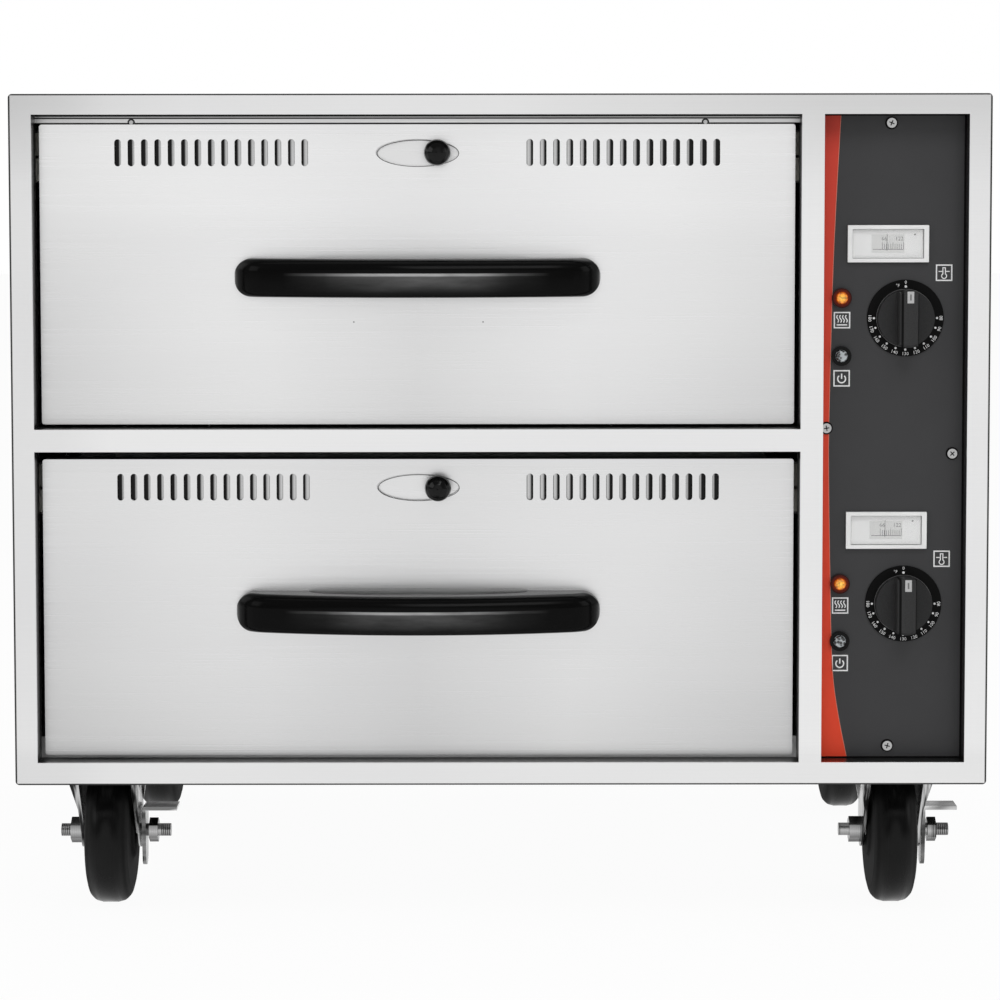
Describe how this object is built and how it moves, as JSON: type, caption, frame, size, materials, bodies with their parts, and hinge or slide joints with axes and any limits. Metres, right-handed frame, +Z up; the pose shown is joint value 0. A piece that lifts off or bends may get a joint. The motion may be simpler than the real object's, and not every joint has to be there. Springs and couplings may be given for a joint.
{
  "type": "two-drawer warming cabinet",
  "caption": "Heated stainless steel cabinet on swivel casters, with stacked pan drawers, sliding vents, thermostat dials and thermometers.",
  "frame": {"origin": "on the floor, under the middle of the outer box", "axes": "+Z up, +Y towards the back, +X to the right as seen from the front"},
  "size_m": [0.74, 0.609, 0.64],
  "materials": {
    "stainless": "fine horizontal brushing",
    "pan_steel": "smooth drawn stainless steel",
    "zinc_steel": "bright zinc plate",
    "black_panel": "satin dark grey",
    "black_plastic": "glossy black",
    "dial_black": "satin black",
    "wheel_black": "smooth glossy black",
    "nylon": "natural nylon",
    "amber_lens": "translucent amber",
    "clear_lens": "translucent clear",
    "meter_white": "white",
    "meter_glass": "clear",
    "element_sheath": "dark oxidised sheath",
    "grey_plastic": "moulded grey"
  },
  "bodies": {
    "cabinet": {"front_frame": "stainless", "top_panel": "stainless", "left_side_panel": "stainless", "right_side_panel": "stainless", "back_panel": "stainless", "base_pan": "stainless", "control_partition": "stainless", "mid_shelf": "stainless", "slide_rails": "zinc_steel", "rail_glides": "nylon", "upper_heating_element": "element_sheath", "lower_heating_element": "element_sheath", "control_panel": "black_panel", "panel_screws": "zinc_steel", "dial_rings": "dial_black", "thermostats": "grey_plastic", "lamp_bezels": "dial_black", "heat_lamp_lenses": "amber_lens", "power_lamp_lenses": "clear_lens", "thermometer_cases": "meter_white", "thermometer_windows": "meter_glass", "cable_gland": "grey_plastic", "terminal_block": "grey_plastic", "caster_plates": "zinc_steel"},
    "upper_drawer": {"upper_drawer_front": "stainless", "upper_drawer_inner_panel": "stainless", "upper_drawer_handle": "black_plastic", "upper_handle_screws": "zinc_steel", "upper_drawer_frame": "stainless", "upper_drawer_glides": "nylon", "upper_food_pan": "pan_steel"},
    "upper_vent": {"upper_vent_damper": "stainless", "upper_vent_knob": "black_plastic"},
    "upper_knob": {"upper_thermostat_knob": "dial_black", "upper_thermostat_spindle": "zinc_steel"},
    "lower_drawer": {"lower_drawer_front": "stainless", "lower_drawer_inner_panel": "stainless", "lower_drawer_handle": "black_plastic", "lower_handle_screws": "zinc_steel", "lower_drawer_frame": "stainless", "lower_drawer_glides": "nylon", "lower_food_pan": "pan_steel"},
    "lower_vent": {"lower_vent_damper": "stainless", "lower_vent_knob": "black_plastic"},
    "lower_knob": {"lower_thermostat_knob": "dial_black", "lower_thermostat_spindle": "zinc_steel"},
    "front_left_fork": {"front_left_caster_fork": "zinc_steel", "front_left_caster_axle": "zinc_steel"},
    "front_left_wheel": {"front_left_wheel": "wheel_black"},
    "front_left_brake": {"front_left_brake_lever": "zinc_steel"},
    "front_right_fork": {"front_right_caster_fork": "zinc_steel", "front_right_caster_axle": "zinc_steel"},
    "front_right_wheel": {"front_right_wheel": "wheel_black"},
    "front_right_brake": {"front_right_brake_lever": "zinc_steel"},
    "rear_left_fork": {"rear_left_caster_fork": "zinc_steel", "rear_left_caster_axle": "zinc_steel"},
    "rear_left_wheel": {"rear_left_wheel": "wheel_black"},
    "rear_right_fork": {"rear_right_caster_fork": "zinc_steel", "rear_right_caster_axle": "zinc_steel"},
    "rear_right_wheel": {"rear_right_wheel": "wheel_black"}
  },
  "joints": [
    {"name": "upper_drawer_slide", "type": "slide", "parent": "cabinet", "child": "upper_drawer", "axis": [0, -1, 0], "range_m": [0, 0.35]},
    {"name": "upper_vent_slide", "type": "slide", "parent": "upper_drawer", "child": "upper_vent", "axis": [-1, 0, 0], "range_m": [0, 0.0253]},
    {"name": "upper_thermostat_turn", "type": "hinge", "parent": "cabinet", "child": "upper_knob", "pos_m": [0.308, -0.2595, 0.47], "axis": [0, 1, 0], "range_deg": [0, 270]},
    {"name": "lower_drawer_slide", "type": "slide", "parent": "cabinet", "child": "lower_drawer", "axis": [0, -1, 0], "range_m": [0, 0.35]},
    {"name": "lower_vent_slide", "type": "slide", "parent": "lower_drawer", "child": "lower_vent", "axis": [-1, 0, 0], "range_m": [0, 0.0253]},
    {"name": "lower_thermostat_turn", "type": "hinge", "parent": "cabinet", "child": "lower_knob", "pos_m": [0.308, -0.2595, 0.2512], "axis": [0, 1, 0], "range_deg": [0, 270]},
    {"name": "front_left_swivel", "type": "hinge", "parent": "cabinet", "child": "front_left_fork", "pos_m": [-0.31, -0.1975, 0.13], "axis": [0, 0, 1], "continuous": true},
    {"name": "front_left_wheel_spin", "type": "hinge", "parent": "front_left_fork", "child": "front_left_wheel", "pos_m": [-0.31, -0.1675, 0.057], "axis": [1, 0, 0], "continuous": true},
    {"name": "front_left_brake_turn", "type": "hinge", "parent": "front_left_fork", "child": "front_left_brake", "pos_m": [-0.31, -0.1675, 0.057], "axis": [-1, 0, 0], "range_deg": [0, 25]},
    {"name": "front_right_swivel", "type": "hinge", "parent": "cabinet", "child": "front_right_fork", "pos_m": [0.31, -0.1975, 0.13], "axis": [0, 0, 1], "continuous": true},
    {"name": "front_right_wheel_spin", "type": "hinge", "parent": "front_right_fork", "child": "front_right_wheel", "pos_m": [0.31, -0.1675, 0.057], "axis": [1, 0, 0], "continuous": true},
    {"name": "front_right_brake_turn", "type": "hinge", "parent": "front_right_fork", "child": "front_right_brake", "pos_m": [0.31, -0.1675, 0.057], "axis": [-1, 0, 0], "range_deg": [0, 25]},
    {"name": "rear_left_swivel", "type": "hinge", "parent": "cabinet", "child": "rear_left_fork", "pos_m": [-0.31, 0.1785, 0.13], "axis": [0, 0, 1], "continuous": true},
    {"name": "rear_left_wheel_spin", "type": "hinge", "parent": "rear_left_fork", "child": "rear_left_wheel", "pos_m": [-0.31, 0.2085, 0.057], "axis": [1, 0, 0], "continuous": true},
    {"name": "rear_right_swivel", "type": "hinge", "parent": "cabinet", "child": "rear_right_fork", "pos_m": [0.31, 0.1785, 0.13], "axis": [0, 0, 1], "continuous": true},
    {"name": "rear_right_wheel_spin", "type": "hinge", "parent": "rear_right_fork", "child": "rear_right_wheel", "pos_m": [0.31, 0.2085, 0.057], "axis": [1, 0, 0], "continuous": true}
  ]
}
